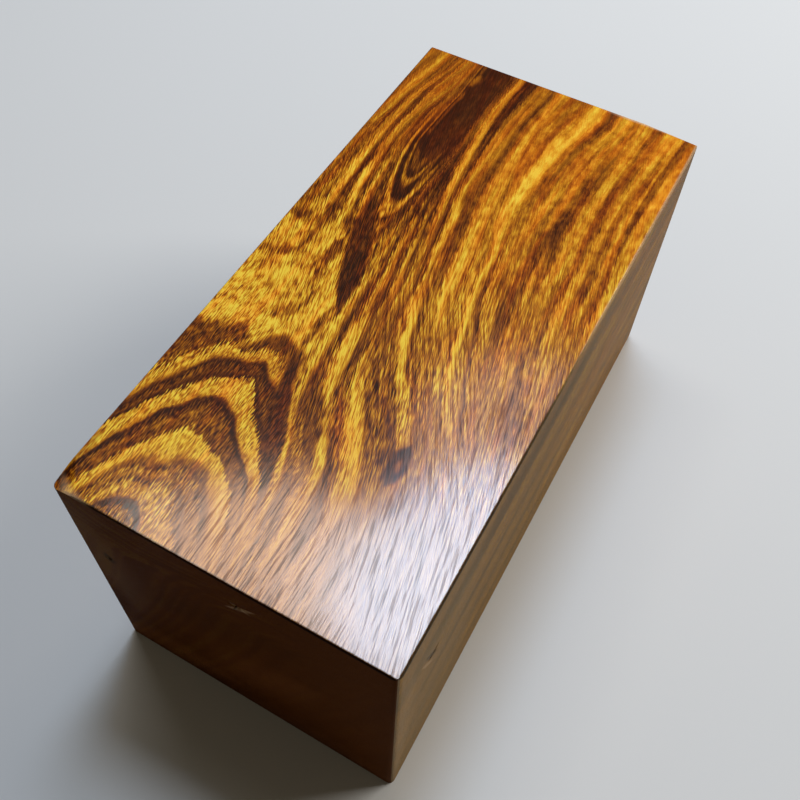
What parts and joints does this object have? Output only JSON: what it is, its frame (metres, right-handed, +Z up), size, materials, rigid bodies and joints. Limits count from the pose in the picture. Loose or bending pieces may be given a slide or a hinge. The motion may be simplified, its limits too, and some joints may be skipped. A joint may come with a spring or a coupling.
{
  "type": "knife handle blank",
  "caption": "Solid block of dense, figured golden-brown hardwood with eased edges and one polished face, ready to be shaped into a knife handle.",
  "frame": {"origin": "middle of the face that the block rests on", "axes": "+Y along the grain from the near end to the far end, +X across the block to the right, +Z up towards the polished face"},
  "size_m": [0.059, 0.12, 0.061],
  "materials": {
    "figured_hardwood": "sanded and polished"
  },
  "bodies": {
    "root": {"handle_blank": "figured_hardwood"}
  },
  "joints": []
}
